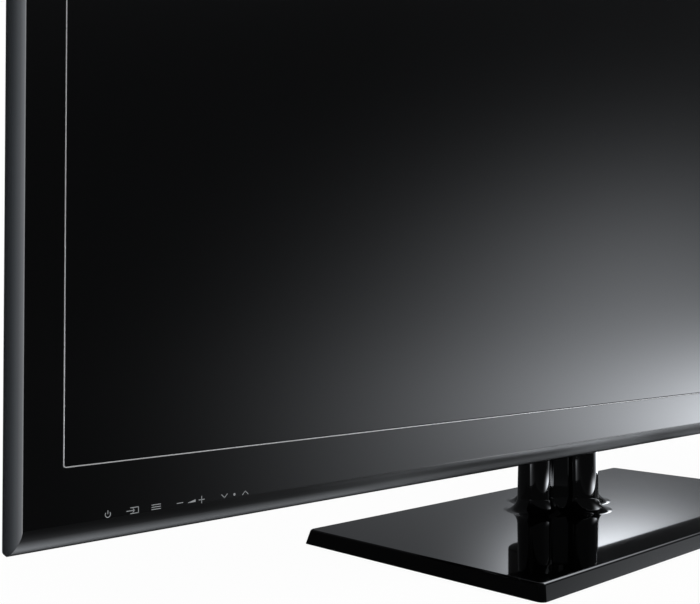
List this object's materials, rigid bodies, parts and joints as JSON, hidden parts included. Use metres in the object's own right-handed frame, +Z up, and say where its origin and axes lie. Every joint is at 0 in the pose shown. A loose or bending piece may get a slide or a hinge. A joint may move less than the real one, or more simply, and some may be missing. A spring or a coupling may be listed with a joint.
{
  "type": "flat screen television on a swivel stand",
  "caption": "Flat screen television with a gloss black border, thin silver line round the screen, lobed neck and flat rectangular swivel base.",
  "frame": {"origin": "on the floor, under the middle of the stand's base plate", "axes": "+X to the viewer's right along the screen, +Y from the screen to the back, +Z up"},
  "size_m": [0.9978, 0.2084, 0.6573],
  "materials": {
    "gloss_black": "piano gloss, moulded ABS",
    "smoked_lens": "dark infrared window",
    "silver_trim": "thin bright line, satin",
    "screen_glass": "dark coated glass, polished",
    "foam_black": "foam strip",
    "panel_glass": "display glass",
    "plain_aluminium": "mill finish",
    "zinc_steel": "zinc plated",
    "rear_black": "fine moulded grain",
    "black_screw": "blackened",
    "board_green": "solder mask",
    "ferrite": "ferrite and tape",
    "capacitor_sleeve": "shrink sleeve",
    "black_anodised": "black anodised",
    "socket_metal": "plated shell",
    "socket_black": "moulded nylon",
    "contact_brass": "plated contact",
    "speaker_plastic": "moulded box",
    "cone_paper": "doped paper",
    "rubber_black": "moulded rubber",
    "film_clear": "sensing film",
    "ribbon_amber": "polyimide film",
    "lead_sleeve": "insulated wire and plugs",
    "cast_aluminium": "die cast",
    "bare_steel": "ground steel",
    "acetal_white": "acetal",
    "black_steel": "powder coated steel"
  },
  "bodies": {
    "stand": {"base_cover": "gloss_black", "base_plate": "black_steel", "base_screws": "zinc_steel", "rubber_feet": "rubber_black", "swivel_wear_ring": "acetal_white"},
    "television": {"front_bezel": "gloss_black", "receiver_window": "smoked_lens", "screen_trim": "silver_trim", "filter_glass": "screen_glass", "glass_gasket": "foam_black", "display_panel": "panel_glass", "panel_pad": "foam_black", "panel_chassis": "plain_aluminium", "glass_clamps": "zinc_steel", "rear_cover": "rear_black", "cover_screws": "black_screw", "chassis_rails": "zinc_steel", "wall_mount_inserts": "zinc_steel", "power_board": "board_green", "main_board": "board_green", "row_driver_board": "board_green", "sustain_board": "board_green", "logic_board": "board_green", "column_boards": "board_green", "board_standoffs": "zinc_steel", "board_screws": "zinc_steel", "power_transformers": "ferrite", "power_capacitors": "capacitor_sleeve", "power_heatsinks": "plain_aluminium", "driver_heatsinks": "plain_aluminium", "processor_heatsink": "black_anodised", "picture_sockets": "socket_metal", "memory_sockets": "socket_metal", "network_socket": "socket_black", "sound_sockets": "socket_black", "antenna_socket": "socket_metal", "mains_inlet": "socket_black", "mains_inlet_pins": "contact_brass", "mains_inlet_screws": "black_screw", "speaker_box_left": "speaker_plastic", "speaker_box_right": "speaker_plastic", "speaker_cones": "cone_paper", "speaker_grommets": "rubber_black", "speaker_brackets": "zinc_steel", "touch_key_board": "board_green", "touch_key_film": "film_clear", "receiver_board": "board_green", "panel_ribbons": "ribbon_amber", "power_leads": "lead_sleeve", "neck_cover": "gloss_black", "neck_post": "cast_aluminium", "post_bolts": "zinc_steel", "swivel_stop_pin": "bare_steel", "swivel_washer": "bare_steel", "swivel_clip": "bare_steel", "stand_bracket": "black_steel", "stand_bracket_screws": "zinc_steel", "stand_frame": "zinc_steel", "bracket_cover": "rear_black", "bracket_cover_screws": "black_screw"}
  },
  "joints": [
    {"name": "stand_swivel", "type": "hinge", "parent": "stand", "child": "television", "pos_m": [0, 0.0277, 0.0119], "axis": [0, 0, 1], "range_deg": [-20, 20]}
  ]
}
